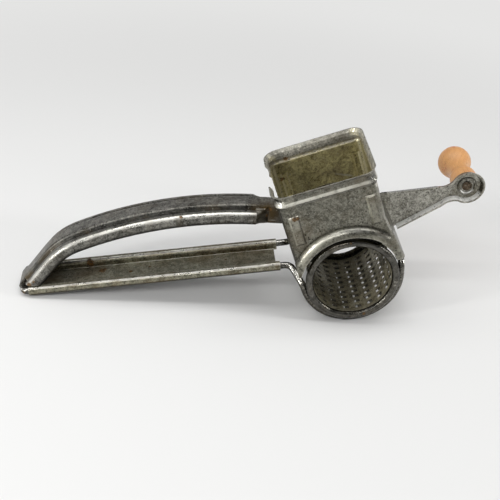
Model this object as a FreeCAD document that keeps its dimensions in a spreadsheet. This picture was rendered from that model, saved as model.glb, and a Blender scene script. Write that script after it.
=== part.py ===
import FreeCAD, Part
import math
import os
import re
import Sketcher

# Rotary drum shredder, millimetres.  +Z up, +Y along the drum axis away from the open end,
# +X towards the crank.  The origin lies on the table under the middle of the drum.
# The hopper, the foot and the crank are drawn in the head's own frame, whose x axis (u) and
# z axis (v) start on the drum axis and lean back by head_lean towards the handles.

doc = FreeCAD.newDocument("shredder")
sheet = doc.addObject("Spreadsheet::Sheet", "Sizes")
SIZES = {
    # how far a cutting tool stands out past what it cuts
    "overcut": 1.0,
    # drum: a perforated tube with a rolled bead at both ends
    "drum_radius": 24.0,
    "drum_sheet": 0.6,
    "drum_length": 60.0,
    "bead_radius": 2.3,
    "curl_end": 128.0,
    "back_bore_radius": 19.8,
    "tooth_rows": 10,
    "tooth_columns": 20,
    "tooth_pitch": 5.2,
    "tooth_width": 3.4,
    "tooth_rise": 1.5,
    "tooth_length": 4.6,
    "tooth_sheet": 0.4,
    "slot_lead": 1.2,
    "mouth_reach": 3.6,
    # wire frame: two half rings that carry the drum, two rails and two cross pieces
    "wire_radius": 2.0,
    "ring_radius": 29.2,
    "bearing_gap": 0.15,
    "ring_exit_angle": 15.0,
    "cross_height": 1.5,
    "hinge_reach": 193.6,
    "rail_half_gap": 12.5,
    "rail_slope": 9.65,
    "rail_stop": 35.5,
    "ring_entry": 4.0,
    "wire_corner": 3.5,
    "cross_corner": 4.0,
    "wire_bend": 5.0,
    # hopper: two mirrored sheet shells
    "head_lean": 22.0,
    "hopper_sheet": 0.7,
    "hopper_left": 29.5,
    "hopper_right": 28.0,
    "hopper_half_depth": 27.0,
    "hopper_foot": 2.5,
    "wall_kink": 35.0,
    "ridge_height": 60.5,
    "ridge_half": 1.6,
    "ridge_rise": 1.1,
    "ridge_shoulder": 0.9,
    "waist_height": 63.4,
    "waist_rise": 0.55,
    "hopper_height": 67.2,
    "rim_rise": 1.9,
    "corner_radius": 3.5,
    "rim_corner_radius": 8.0,
    "slot_half_width": 12.0,
    "roll_gap": 0.1,
    "roll_half_length": 20.4,
    "rim_clearance": 0.6,
    "collar_radius": 32.0,
    "collar_section": 4.5,
    "collar_bore": 31.2,
    "collar_start": 40.0,
    "collar_sweep": 115.0,
    "collar_end_trim": 1.0,
    "rib_width": 8.0,
    "rib_rise": 0.9,
    "rib_slope": 2.0,
    "rib_low": 32.0,
    "rib_high": 53.5,
    "rib_left": 22.6,
    "rib_right": 22.6,
    "wire_clearance": 0.3,
    "notch_height": 14.0,
    "notch_start": 15.0,
    # fixed handle: a trough with its edges rolled round the rails
    "handle_sheet": 0.8,
    "rail_roll_gap": 0.1,
    "trough_setback": 3.8,
    "trough_stop": 41.6,
    "floor_setback": 2.0,
    "trough_bend": 0.6,
    "rail_roll_end": -100.0,
    # presser handle: an arched channel with rolled edges, hinged on the left cross wire
    "hinge_gap": 0.08,
    "eye_half_width": 7.0,
    "arch_start_angle": 56.2,
    "arch_run": 25.6,
    "arch_tight_radius": 43.7,
    "arch_tight_angle": 29.4,
    "arch_wide_radius": 235.0,
    "channel_flat": 4.75,
    "crest_bend": 0.8,
    "channel_depth": 10.0,
    "channel_half_width": 13.75,
    "channel_roll": 4.15,
    "roll_top": 125.0,
    "roll_end": -165.0,
    "roll_inner_lead": 11.0,
    "run_start": 2.0,
    "handle_gap": 0.9,
    "tail_half_width": 5.6,
    "tail_depth": 11.6,
    "tail_front": 1.4,
    "taper_length": 8.0,
    # presser foot: a curved plate that follows the drum
    "foot_gap": 2.0,
    "foot_sheet": 0.9,
    "foot_half_width": 23.5,
    "foot_start": 37.0,
    "foot_sweep": 103.0,
    "foot_lip": 5.0,
    "tab_half_width": 13.0,
    "tab_start": 62.0,
    "tab_sweep": 60.0,
    "presser_rivet_radius": 1.5,
    "presser_rivet_head": 2.4,
    "presser_rivet_crown": 1.8,
    "presser_rivet_spread": 14.0,
    "rivet_head": 0.9,
    # crank and knob
    "crank_rise": 1.3,
    "crank_sheet": 1.2,
    "crank_joggle": 2.6,
    "joggle_start": 24.5,
    "joggle_end": 29.5,
    "crank_length": 85.4,
    "crank_eye_radius": 11.0,
    "crank_root": 26.6,
    "crank_root_half_width": 13.6,
    "crank_root_crown": 0.5,
    "crank_root_shoulder": 6.0,
    "crank_root_arc": 16.6,
    "eye_blend_angle": 42.0,
    "crank_wide": 15.0,
    "crank_wide_at": 33.0,
    "crank_neck": 7.4,
    "crank_neck_at": 67.0,
    "crank_flange": 4.2,
    "flange_flare": 1.6,
    "flange_start": 36.0,
    "crank_bead_radius": 5.4,
    "crank_bead_section": 0.9,
    "crank_rivet_radius": 1.1,
    "crank_rivet_head": 2.0,
    "crank_rivet_crown": 1.5,
    "crank_rivet_length": 18.5,
    "crank_rivet_width": 10.5,
    "pin_radius": 2.0,
    "pin_head_radius": 3.2,
    "pin_head": 1.4,
    "knob_gap": 0.08,
    "knob_play": 0.4,
    "knob_foot_radius": 8.5,
    "knob_neck_radius": 6.7,
    "knob_radius": 10.7,
    "knob_centre": 30.2,
    "knob_neck_fillet": 16.0,
    "knob_recess_radius": 3.8,
    "knob_recess": 2.6,
}
for row, (name, size) in enumerate(SIZES.items(), 1):
    sheet.set("A%d" % row, name)
    sheet.set("B%d" % row, str(size))
    sheet.setAlias("B%d" % row, name)
doc.recompute()

# sizes worked out from the driving ones
BEAD_CENTRE = "(drum_radius - drum_sheet + bead_radius)"
BEAD_PLANE = "(drum_length / 2 - bead_radius)"
RING_PLANE = ("(drum_length / 2 - bead_radius - sqrt((bead_radius + wire_radius + bearing_gap)^2"
              " - (ring_radius - drum_radius + drum_sheet - bead_radius)^2))")
AXIS_HEIGHT = "(ring_radius + wire_radius)"
CROSS_U = ("(ring_radius * cos(ring_exit_angle)"
           " + (cross_height + ring_radius * sin(ring_exit_angle)) * tan(ring_exit_angle))")
EYE_RADIUS = "(wire_radius + hinge_gap + handle_sheet)"
ROLL_RADIUS = "(wire_radius + roll_gap + hopper_sheet)"
FOOT_RADIUS = "(drum_radius + foot_gap)"
FOOT_TOP = "(drum_radius + foot_gap + foot_sheet)"
ARM_FACE = "(drum_length / 2 + crank_joggle + crank_sheet)"
KNOB_FLOOR = "(knob_centre + knob_radius - knob_recess)"
# centres of the presser handle's two bows
TIGHT_X = ("(-hinge_reach + (arch_tight_radius - wire_radius - hinge_gap - handle_sheet)"
           " * sin(arch_start_angle) + arch_run * cos(arch_start_angle))")
TIGHT_Z = ("(wire_radius + hinge_gap + handle_sheet + arch_run * sin(arch_start_angle)"
           " - (arch_tight_radius - wire_radius - hinge_gap - handle_sheet) * cos(arch_start_angle))")
WIDE_X = "(%s + (arch_wide_radius - arch_tight_radius) * sin(arch_start_angle - arch_tight_angle))" % TIGHT_X
WIDE_Z = "(%s - (arch_wide_radius - arch_tight_radius) * cos(arch_start_angle - arch_tight_angle))" % TIGHT_Z

ALONG_Y = FreeCAD.Rotation(FreeCAD.Vector(1, 0, 0), -90)
CORNERS = ((1, 1), (1, -1), (-1, 1), (-1, -1))


def bound(text):
    """The expression with every size name pointed at the sheet."""
    return re.sub(r"[a-z]\w*", lambda m: "Sizes." + m.group() if m.group() in SIZES else m.group(), str(text))


def value(text):
    result = sheet.evalExpression(bound(text))
    return float(getattr(result, "Value", result))


def turn_y(text):
    """A turn about +Y that lifts +X towards +Z by the given angle."""
    return FreeCAD.Rotation(FreeCAD.Vector(0, 1, 0), -value(text))


def bind(thing, **sizes):
    for name, text in sizes.items():
        thing.setExpression(name, bound(text))
    return thing


def place(thing, x=0, y=0, z=0, turn=FreeCAD.Rotation()):
    thing.Placement = FreeCAD.Placement(FreeCAD.Vector(value(x), value(y), value(z)), turn)
    for axis, text in zip("xyz", (x, y, z)):
        thing.setExpression("Placement.Base." + axis, bound(text))
    return thing


def in_head(thing, extra=0):
    """Puts a thing drawn in the head's frame where the head stands."""
    return place(thing, z=AXIS_HEIGHT, turn=turn_y("head_lean + %s" % extra))


def plane(body, role):
    return [f for f in body.Origin.OriginFeatures if f.Role == role][0]


def sketch_on(body, role, name, lift=0):
    sketch = body.newObject("Sketcher::SketchObject", name)
    sketch.AttachmentSupport = [(plane(body, role), "")]
    sketch.MapMode = "FlatFace"
    sketch.AttachmentOffset = FreeCAD.Placement(FreeCAD.Vector(0, 0, value(lift)), FreeCAD.Rotation())
    sketch.setExpression("AttachmentOffset.Base.z", bound(lift))
    return sketch


def arc_between(a, b, radius, side, big):
    half = (b - a) / 2
    reach = math.sqrt(max(radius * radius - half.Length ** 2, 0)) * (-1 if big else 1)
    left = FreeCAD.Vector(-half.y, half.x, 0).normalize()
    centre = a + half + left * reach * side
    start = math.atan2(a.y - centre.y, a.x - centre.x)
    end = math.atan2(b.y - centre.y, b.x - centre.x)
    if side < 0:
        start, end = end, start
    if end <= start:
        end += 2 * math.pi
    return Part.ArcOfCircle(Part.Circle(centre, FreeCAD.Vector(0, 0, 1), radius), start, end)


def chain(sketch, corners, closed=True):
    """Draws corners (x, y) joined by lines, or by an arc after (x, y, radius, side[, big]).
    side is +1 for a left-hand arc and -1 for a right-hand one; big marks an arc over 180 degrees."""
    points = [FreeCAD.Vector(value(c[0]), value(c[1]), 0) for c in corners]
    count = len(corners)
    spans = count if closed else count - 1
    ends = [(1, 2) if len(c) == 2 or c[3] > 0 else (2, 1) for c in corners]
    for i in range(spans):
        a = points[i]
        b = points[(i + 1) % count]
        if len(corners[i]) == 2:
            sketch.addGeometry(Part.LineSegment(a, b), False)
        else:
            big = len(corners[i]) > 4 and corners[i][4]
            sketch.addGeometry(arc_between(a, b, value(corners[i][2]), corners[i][3], big), False)
    for i in range(spans if closed else spans - 1):
        following = (i + 1) % count
        sketch.addConstraint(Sketcher.Constraint("Coincident", i, ends[i][1], following, ends[following][0]))
    for i, corner in enumerate(corners):
        edge, end = (i, ends[i][0]) if i < spans else (i - 1, ends[i - 1][1])
        for kind, text in (("DistanceX", corner[0]), ("DistanceY", corner[1])):
            k = sketch.addConstraint(Sketcher.Constraint(kind, -1, 1, edge, end, value(text)))
            sketch.setExpression("Constraints[%d]" % k, bound(text))
        if len(corner) > 2:
            k = sketch.addConstraint(Sketcher.Constraint("Radius", i, value(corner[2])))
            sketch.setExpression("Constraints[%d]" % k, bound(corner[2]))
    return sketch


def both_sides(half):
    """A chain that starts and ends on one side, closed by its own mirror image in x."""
    mirrored = []
    for i in range(len(half) - 1, -1, -1):
        arc = tuple(half[i - 1][2:]) if i > 0 else ()
        mirrored.append(("-(%s)" % half[i][0], half[i][1]) + arc)
    return list(half[:-1]) + [tuple(half[-1][:2])] + mirrored


def body_named(name):
    return doc.addObject("PartDesign::Body", name)


def prism(name, role, corners, low, high):
    """A pad of the outline between two heights over an origin plane."""
    body = body_named(name)
    outline = chain(sketch_on(body, role, name + "_outline", low), corners)
    pad = body.newObject("PartDesign::Pad", name + "_pad")
    pad.Profile = outline
    bind(pad, Length="(%s) - (%s)" % (high, low))
    return body


def turned(name, corners):
    """A revolution about the body's own Y axis: x is the radius, y runs along the axis."""
    body = body_named(name)
    outline = chain(sketch_on(body, "XY_Plane", name + "_outline"), corners)
    revolution = body.newObject("PartDesign::Revolution", name + "_revolution")
    revolution.Profile = outline
    revolution.ReferenceAxis = (outline, ["V_Axis"])
    revolution.Angle = 360
    return body


def cylinder_y(name, radius, start, end, x=0, z=0):
    """A cylinder along Y."""
    rod = bind(doc.addObject("Part::Cylinder", name), Radius=radius, Height="(%s) - (%s)" % (end, start))
    return place(rod, x, start, z, ALONG_Y)


def box(name, x, y, z):
    """A box given by its (low, high) limits along each axis."""
    block = doc.addObject("Part::Box", name)
    for prop, (low, high) in zip(("Length", "Width", "Height"), (x, y, z)):
        block.setExpression(prop, bound("(%s) - (%s)" % (high, low)))
    return place(block, x[0], y[0], z[0])


def fuse(name, *shapes):
    union = doc.addObject("Part::MultiFuse", name)
    union.Shapes = list(shapes)
    return union


def cut(name, base, *tools):
    result = doc.addObject("Part::Cut", name)
    result.Base = base
    result.Tool = tools[0] if len(tools) == 1 else fuse(name + "_tools", *tools)
    return result


def common(name, *shapes):
    overlap = doc.addObject("Part::MultiCommon", name)
    overlap.Shapes = list(shapes)
    return overlap


def mirrored_y(name, source):
    copy = doc.addObject("Part::Mirroring", name)
    copy.Source = source
    copy.Base = FreeCAD.Vector(0, 0, 0)
    copy.Normal = FreeCAD.Vector(0, 1, 0)
    return copy


# ---------------------------------------------------------------- wire frame
def rounded_route(points, radii):
    """Straight runs through the points, joined by tangent arcs of the given radii."""
    edges = []
    start = points[0]
    for i in range(1, len(points) - 1):
        before = (points[i] - points[i - 1]).normalize()
        after = (points[i + 1] - points[i]).normalize()
        turn = before.getAngle(after)
        cutback = radii[i - 1] * math.tan(turn / 2)
        inner = (after - before).normalize()
        entry = points[i] - before * cutback
        leave = points[i] + after * cutback
        middle = points[i] + inner * (radii[i - 1] / math.cos(turn / 2) - radii[i - 1])
        edges.append(Part.LineSegment(start, entry).toShape())
        edges.append(Part.Arc(entry, middle, leave).toShape())
        start = leave
    edges.append(Part.LineSegment(start, points[-1]).toShape())
    return edges


def head_point(u, y, v):
    lean = math.radians(value("head_lean"))
    return FreeCAD.Vector(u * math.cos(lean) - v * math.sin(lean), y,
                          u * math.sin(lean) + v * math.cos(lean) + value(AXIS_HEIGHT))


def wire_frame():
    """One closed wire: hinge cross piece, rails, half rings under the drum, right cross piece."""
    ring = value("ring_radius")
    gap = value("rail_half_gap")
    side = value(RING_PLANE)
    hinge = FreeCAD.Vector(-value("hinge_reach"), 0, value(EYE_RADIUS))
    corner = hinge + FreeCAD.Vector(0, gap, 0)
    rail_run = value("hinge_reach - rail_stop")
    rail_end = corner + FreeCAD.Vector(rail_run, 0, rail_run * value("tan(rail_slope)"))
    entry = head_point(-ring, side, value("ring_entry"))
    ring_start = head_point(-ring, side, 0)
    exit_angle = math.radians(-value("ring_exit_angle"))
    half_turn = (math.pi + exit_angle + 2 * math.pi) / 2
    ring_middle = head_point(ring * math.cos(half_turn), side, ring * math.sin(half_turn))
    ring_end = head_point(ring * math.cos(exit_angle), side, ring * math.sin(exit_angle))
    cross = head_point(value(CROSS_U), side, value("cross_height"))
    cross_middle = head_point(value(CROSS_U), 0, value("cross_height"))
    bend = value("wire_bend")
    edges = rounded_route([hinge, corner, rail_end, entry, ring_start], [value("wire_corner"), bend, bend])
    edges.append(Part.Arc(ring_start, ring_middle, ring_end).toShape())
    edges += rounded_route([ring_end, cross, cross_middle], [value("cross_corner")])
    route = Part.Wire(edges)
    section = Part.Wire([Part.makeCircle(value("wire_radius"), hinge, FreeCAD.Vector(0, 1, 0))])
    half = doc.addObject("Part::Feature", "wire_half")
    half.Shape = route.makePipeShell([section], True, False)
    return fuse("wire_frame", half, mirrored_y("wire_other_half", half))


# ---------------------------------------------------------------- drum
def drum_cylinder():
    """The shredding tube: rows of punched slots, each under a raised tooth."""
    body = body_named("drum_cylinder")
    inner = "drum_radius - drum_sheet"
    wall = chain(sketch_on(body, "XY_Plane", "wall_section"), [
        (inner, "-" + BEAD_PLANE),
        ("drum_radius", "-" + BEAD_PLANE),
        ("drum_radius", BEAD_PLANE),
        (inner, BEAD_PLANE),
    ])
    tube = body.newObject("PartDesign::Revolution", "wall")
    tube.Profile = wall
    tube.ReferenceAxis = (wall, ["V_Axis"])
    tube.Angle = 360
    first = "-(tooth_rows - 1) / 2 * tooth_pitch"
    crest = "drum_radius + tooth_rise"
    slope = "(tooth_rise + drum_sheet) / tooth_length"
    # the tooth's outside, a wedge that rises against the turn of the drum
    hood = chain(sketch_on(body, "XZ_Plane", "tooth_outside", "-(%s) - tooth_width / 2" % first), [
        (0, "drum_radius - drum_sheet / 2"),
        (0, crest),
        ("-tooth_length", inner),
        ("-tooth_length + drum_sheet", "drum_radius - drum_sheet"),
    ])
    tooth = body.newObject("PartDesign::Pad", "tooth")
    tooth.Profile = hood
    bind(tooth, Length="tooth_width")
    # the opening under the tooth, from in front of its edge through to the inside of the tube
    under = "drum_radius + tooth_rise - tooth_sheet"
    mouth = chain(sketch_on(body, "XZ_Plane", "mouth_outline",
                            "-(%s) - tooth_width / 2 + tooth_sheet" % first), [
        ("slot_lead", "drum_radius - 2 * drum_sheet"),
        ("slot_lead", under),
        (0, under),
        ("-mouth_reach", "drum_radius - 2 * drum_sheet"),
    ])
    opening = body.newObject("PartDesign::Pocket", "mouth")
    opening.Profile = mouth
    opening.Reversed = True
    bind(opening, Length="tooth_width - 2 * tooth_sheet")
    doc.recompute()
    pattern = body.newObject("PartDesign::MultiTransform", "teeth")
    pattern.Originals = [tooth, opening]
    rows = body.newObject("PartDesign::LinearPattern", "tooth_row")
    rows.Direction = (plane(body, "Y_Axis"), [""])
    bind(rows, Length="(tooth_rows - 1) * tooth_pitch", Occurrences="tooth_rows")
    columns = body.newObject("PartDesign::PolarPattern", "tooth_columns")
    columns.Axis = (plane(body, "Y_Axis"), [""])
    columns.Angle = 360
    bind(columns, Occurrences="tooth_columns")
    pattern.Transformations = [rows, columns]
    body.Tip = pattern
    return place(body, z=AXIS_HEIGHT)


def curl(side):
    """The rolled bead's section, from the end of the tube round to just short of it.
    side is -1 for the front end and +1 for the back end."""
    inner = "(bead_radius - drum_sheet)"
    centre = "%d * %s" % (side, BEAD_PLANE)
    tail_cos = "cos(curl_end)"
    tail_sin = "sin(curl_end)"
    return [
        (BEAD_CENTRE + " - " + inner, centre, inner, -side, True),
        ("%s + %s * %s" % (BEAD_CENTRE, inner, tail_cos),
         "%s - %d * %s * %s" % (centre, side, inner, tail_sin)),
        ("%s + bead_radius * %s" % (BEAD_CENTRE, tail_cos),
         "%s - %d * bead_radius * %s" % (centre, side, tail_sin), "bead_radius", side, True),
        (BEAD_CENTRE + " - bead_radius", centre),
    ]


def drum_front_rim():
    return place(turned("drum_front_rim", curl(-1)), z=AXIS_HEIGHT)


def drum_back_ring():
    """The rolled back bead with a flat ring inside it that carries the crank."""
    bead = turned("back_bead", curl(1))
    flat = turned("back_flat", [
        ("back_bore_radius", "drum_length / 2 - drum_sheet"),
        (BEAD_CENTRE, "drum_length / 2 - drum_sheet"),
        (BEAD_CENTRE, "drum_length / 2"),
        ("back_bore_radius", "drum_length / 2"),
    ])
    holes = crank_rivet_holes("ring", "drum_length / 2 - 2 * drum_sheet", "drum_length / 2 + overcut")
    return in_head(cut("drum_back_ring", fuse("back_ring_solid", bead, flat), *holes), "crank_rise")


# ---------------------------------------------------------------- crank and knob

def crank_rivet_places():
    """Where the four rivets stand round the drum axis, as (x, z) in the crank's own frame."""
    return [("%d * crank_rivet_length" % su, "%d * crank_rivet_width" % sv) for su, sv in CORNERS]


def crank_rivet_holes(name, start, end):
    return [cylinder_y("%s_rivet_hole_%d" % (name, i), "crank_rivet_radius", start, end, x, z)
            for i, (x, z) in enumerate(crank_rivet_places())]


def crank_outline(inset=0):
    """The arm seen along the drum axis: round root, tapering arm, round eye."""
    eye = "(crank_eye_radius - %s)" % inset
    neck_end = "crank_length - %s * cos(eye_blend_angle)" % eye
    return [
        ("-crank_root + crank_root_shoulder + %s" % inset, "-crank_root_half_width + %s" % inset),
        (0, "-crank_root_half_width - crank_root_crown + %s" % inset),
        ("crank_wide_at", "-crank_wide + %s" % inset),
        ("crank_neck_at", "-crank_neck + %s" % inset, "crank_eye_radius", -1),
        (neck_end, "-%s * sin(eye_blend_angle)" % eye, eye, 1, True),
        (neck_end, "%s * sin(eye_blend_angle)" % eye, "crank_eye_radius", -1),
        ("crank_neck_at", "crank_neck - %s" % inset),
        ("crank_wide_at", "crank_wide - %s" % inset),
        (0, "crank_root_half_width + crank_root_crown - %s" % inset),
        ("-crank_root + crank_root_shoulder + %s" % inset, "crank_root_half_width - %s" % inset,
         "crank_root_arc", 1),
    ]


def flared(name, inset, root, rim):
    """The arm's outline as a solid that widens by flange_flare from root to rim."""
    body = body_named(name)
    low = chain(sketch_on(body, "XZ_Plane", name + "_root", "-(%s)" % root),
                crank_outline("(flange_flare + %s)" % inset))
    high = chain(sketch_on(body, "XZ_Plane", name + "_rim", "-(%s)" % rim), crank_outline("(%s)" % inset))
    loft = body.newObject("PartDesign::AdditiveLoft", name + "_loft")
    loft.Profile = low
    loft.Sections = [high]
    loft.Ruled = True
    return body


def crank_arm():
    near = "drum_length / 2"
    far = "drum_length / 2 + crank_joggle"
    top = "crank_length + crank_eye_radius + overcut"
    sheet_path = prism("arm_side", "XY_Plane", [
        ("-crank_root - overcut", near),
        ("joggle_start", near),
        ("joggle_end", far),
        (top, far),
        (top, far + " + crank_sheet"),
        ("joggle_end", far + " + crank_sheet"),
        ("joggle_start", near + " + crank_sheet"),
        ("-crank_root - overcut", near + " + crank_sheet"),
    ], "-crank_wide - overcut", "crank_wide + overcut")
    plan = prism("arm_plan", "XZ_Plane", crank_outline("flange_flare"), "-%s - overcut" % ARM_FACE,
                 "-drum_length / 2 + overcut")
    plate = common("arm_plate", sheet_path, plan)
    flange_foot = "(%s - crank_flange)" % ARM_FACE
    outside = flared("flange_outside", "0", ARM_FACE, flange_foot)
    inside = flared("flange_inside", "crank_sheet", ARM_FACE, flange_foot)
    root_side = box("flange_limit", ("-2 * crank_root", "flange_start"), ("0", ARM_FACE + " + overcut"),
                    ("-2 * crank_wide", "2 * crank_wide"))
    flange = cut("arm_flange", outside, inside, root_side)
    bead = doc.addObject("Part::Torus", "eye_bead")
    bind(bead, Radius1="crank_bead_radius", Radius2="crank_bead_section")
    place(bead, "crank_length", far, 0, ALONG_Y)
    holes = crank_rivet_holes("arm", 0, ARM_FACE)
    pin_hole = cylinder_y("arm_pin_hole", "pin_radius", far + " - crank_bead_section",
                          ARM_FACE + " + overcut", "crank_length")
    arm = cut("crank_arm", fuse("arm_solid", plate, flange, bead), pin_hole, *holes)
    return in_head(arm, "crank_rise")


def crank_rivets():
    """Four domed rivets through the arm's root and the drum's back ring."""
    back = "drum_length / 2 + crank_sheet"
    front = "drum_length / 2 - drum_sheet"
    profile = [
        (0, front + " - rivet_head"),
        ("crank_rivet_crown", front + " - rivet_head"),
        ("crank_rivet_head", front),
        ("crank_rivet_radius", front),
        ("crank_rivet_radius", back),
        ("crank_rivet_head", back),
        ("crank_rivet_crown", back + " + rivet_head"),
        (0, back + " + rivet_head"),
    ]
    rivets = []
    for i, (x, z) in enumerate(crank_rivet_places()):
        rivets.append(place(turned("crank_rivet_%d" % i, profile), x, 0, z))
    group = doc.addObject("Part::Compound", "crank_rivets")
    group.Links = rivets
    return in_head(group, "crank_rise")


def knob_pin():
    face = "(drum_length / 2 + crank_joggle)"
    end = "(%s + %s + knob_play / 2 + pin_head)" % (ARM_FACE, KNOB_FLOOR)
    pin = turned("knob_pin", [
        (0, face + " - pin_head"),
        ("pin_radius", face + " - pin_head"),
        ("pin_head_radius", face + " - pin_head / 2"),
        ("pin_head_radius", face),
        ("pin_radius", face),
        ("pin_radius", end + " - pin_head"),
        ("pin_head_radius", end + " - pin_head"),
        ("pin_head_radius", end + " - pin_head / 2"),
        ("pin_radius", end),
        (0, end),
    ])
    angle = "(head_lean + crank_rise)"
    return place(pin, "crank_length * cos%s" % angle, 0, "%s + crank_length * sin%s" % (AXIS_HEIGHT, angle))


def crank_knob():
    """Turned wooden knob, free to spin on its pin."""
    bore = "(pin_radius + knob_gap)"
    reach = "sqrt((knob_radius + knob_neck_fillet)^2 - (knob_neck_radius + knob_neck_fillet)^2)"
    foot = "sqrt(knob_neck_fillet^2 - (knob_neck_radius + knob_neck_fillet - knob_foot_radius)^2)"
    lean = "(knob_neck_radius + knob_neck_fillet) / (knob_radius + knob_neck_fillet)"
    end = "(knob_centre + sqrt(knob_radius^2 - knob_recess_radius^2))"
    knob = turned("crank_knob", [
        (bore, "knob_play"),
        ("knob_foot_radius", "knob_play"),
        ("knob_foot_radius", "knob_centre - %s - %s" % (reach, foot), "knob_neck_fillet", -1),
        ("knob_radius * " + lean, "knob_centre - %s * knob_radius / (knob_radius + knob_neck_fillet)" % reach,
         "knob_radius", 1),
        ("knob_recess_radius", end),
        ("knob_recess_radius", KNOB_FLOOR),
        (bore, KNOB_FLOOR),
    ])
    angle = "(head_lean + crank_rise)"
    return place(knob, "crank_length * cos%s" % angle, ARM_FACE,
                 "%s + crank_length * sin%s" % (AXIS_HEIGHT, angle))


# ---------------------------------------------------------------- hopper
def hopper_level(body, name, height, right, corner, grow, inset):
    """Half of the hopper's plan outline at one height, open side on the seam."""
    wall_left = "(-hopper_left - %s + %s)" % (grow, inset)
    wall_right = "(%s + %s - %s)" % (right, grow, inset)
    panel = "(-hopper_half_depth - %s + %s)" % (grow, inset)
    bend = "(%s - %s)" % (corner, inset)
    seam = "0" if inset == "0" else "overcut"
    return chain(sketch_on(body, "XY_Plane", name, height), [
        (wall_left, seam),
        (wall_left, "%s + %s" % (panel, bend), bend, 1),
        ("%s + %s" % (wall_left, bend), panel),
        ("%s - %s" % (wall_right, bend), panel, bend, 1),
        (wall_right, "%s + %s" % (panel, bend)),
        (wall_right, seam),
    ])


def hopper_form(name, inset):
    """The front half of the hopper as a solid, drawn in by inset."""
    body = body_named(name)
    under = "cross_height" if inset == "0" else "cross_height - 0.01"
    over = "hopper_height" if inset == "0" else "hopper_height + 0.01"
    roll_side = "(%s + %s)" % (CROSS_U, ROLL_RADIUS)
    round_ridge = "((corner_radius + rim_corner_radius) / 2)"
    lead = "(waist_rise + (rim_rise - waist_rise) / 4)"
    levels = [
        hopper_level(body, name + "_foot", under, roll_side, "corner_radius", "0", inset),
    ]
    for step, height, corner, grow in (
            ("_kink", "wall_kink", "corner_radius", "0"),
            ("_neck", "ridge_height - ridge_half", "corner_radius", "0"),
            ("_ridge_low", "ridge_height - ridge_half / 2", round_ridge, "ridge_shoulder"),
            ("_ridge", "ridge_height", round_ridge, "ridge_rise"),
            ("_ridge_top", "ridge_height + ridge_half / 2", round_ridge, "((ridge_rise + waist_rise) / 2)"),
            ("_waist", "waist_height", "rim_corner_radius", "waist_rise"),
            ("_lead", "(waist_height + hopper_height) / 2", "rim_corner_radius", lead),
            ("_rim", over, "rim_corner_radius", "rim_rise")):
        levels.append(hopper_level(body, name + step, height, "hopper_right", corner, grow, inset))
    loft = body.newObject("PartDesign::AdditiveLoft", name + "_loft")
    loft.Profile = levels[0]
    loft.Sections = levels[1:]
    loft.Ruled = True
    return body


def rib(name, centre, inset):
    """A raised strip on the panel, wider at its base than at its crest."""
    half = "(rib_width / 2 - %s)" % inset
    block = doc.addObject("Part::Wedge", name)
    bind(block, Xmin="-" + half, Xmax=half, X2min="-%s + rib_slope" % half, X2max="%s - rib_slope" % half,
         Ymin="0", Ymax="hopper_sheet + rib_rise", Zmin="0", Zmax="rib_high - rib_low - 2 * %s" % inset,
         Z2min="rib_slope", Z2max="rib_high - rib_low - 2 * %s - rib_slope" % inset)
    half_turn = FreeCAD.Rotation(FreeCAD.Vector(0, 0, 1), 180)
    return place(block, centre, "-hopper_half_depth + hopper_sheet + %s" % inset,
                 "rib_low + %s" % inset, half_turn)


def collar_ring(name, section, trim):
    """The bulge round the drum's front rim."""
    ring = doc.addObject("Part::Torus", name)
    bind(ring, Radius1="collar_radius", Radius2=section)
    place(ring, 0, "-hopper_half_depth", 0, ALONG_Y)
    reach = "2 * collar_radius"
    wedge = doc.addObject("Part::Cylinder", name + "_sector")
    bind(wedge, Radius=reach, Height="4 * collar_section", Angle="collar_sweep - 2 * %s" % trim)
    turn = ALONG_Y.multiply(FreeCAD.Rotation(FreeCAD.Vector(0, 0, 1),
                                             -value("collar_start + collar_sweep - %s" % trim)))
    place(wedge, 0, "-hopper_half_depth - 2 * collar_section", 0, turn)
    side = "-hopper_left" if trim == "0" else "-hopper_left + hopper_sheet"
    bay = box(name + "_bay", (side, reach), ("-hopper_half_depth - 2 * collar_section", "0"),
              ("0", reach))
    return common(name + "_bulge", ring, wedge, bay)


def hopper_front():
    """Front shell: panel with ribs and collar, left flange, right wall rolled round the wire."""
    roll = cylinder_y("hopper_roll", ROLL_RADIUS, "-roll_half_length", "0", CROSS_U, "cross_height")
    solid = fuse("hopper_outside", hopper_form("hopper_outer", "0"),
                 collar_ring("collar_outer", "collar_section", "0"),
                 rib("rib_left", "-rib_left", "0"), rib("rib_right", "rib_right", "0"))
    hollow = fuse("hopper_inside", hopper_form("hopper_inner", "hopper_sheet"),
                  collar_ring("collar_inner", "collar_section - hopper_sheet", "collar_end_trim"),
                  rib("rib_left_back", "-rib_left", "hopper_sheet"),
                  rib("rib_right_back", "rib_right", "hopper_sheet"))
    shell = cut("hopper_skin", solid, hollow)
    with_roll = fuse("hopper_rolled", shell, roll)
    outer = "-2 * hopper_half_depth"
    far_left = "-2 * hopper_left"
    wire_side = "-ring_radius + wire_radius + wire_clearance"
    tools = [
        cylinder_y("roll_bore", "wire_radius + roll_gap", outer, "overcut", CROSS_U, "cross_height"),
        cylinder_y("rim_opening", "drum_radius - drum_sheet + 2 * bead_radius + rim_clearance",
                   outer, "-hopper_half_depth + 2 * hopper_sheet"),
        collar_bore(),
        box("handle_slot", (far_left, "-hopper_left + 2 * hopper_sheet"), ("-slot_half_width", "overcut"),
            ("0", "2 * hopper_height")),
        box("left_foot", (far_left, "0"), (outer, "overcut"), ("0", "hopper_foot")),
        box("wire_notch", (far_left, "-drum_radius"), (outer, "-notch_start"), ("0", "notch_height")),
        box("corner_notch", ("-(%s)" % wire_side, "2 * hopper_right"), (outer, "-roll_half_length"),
            ("0", "cross_height + wire_radius + 2 * wire_clearance")),
    ]
    return cut("hopper_front_form", with_roll, *tools)


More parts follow.
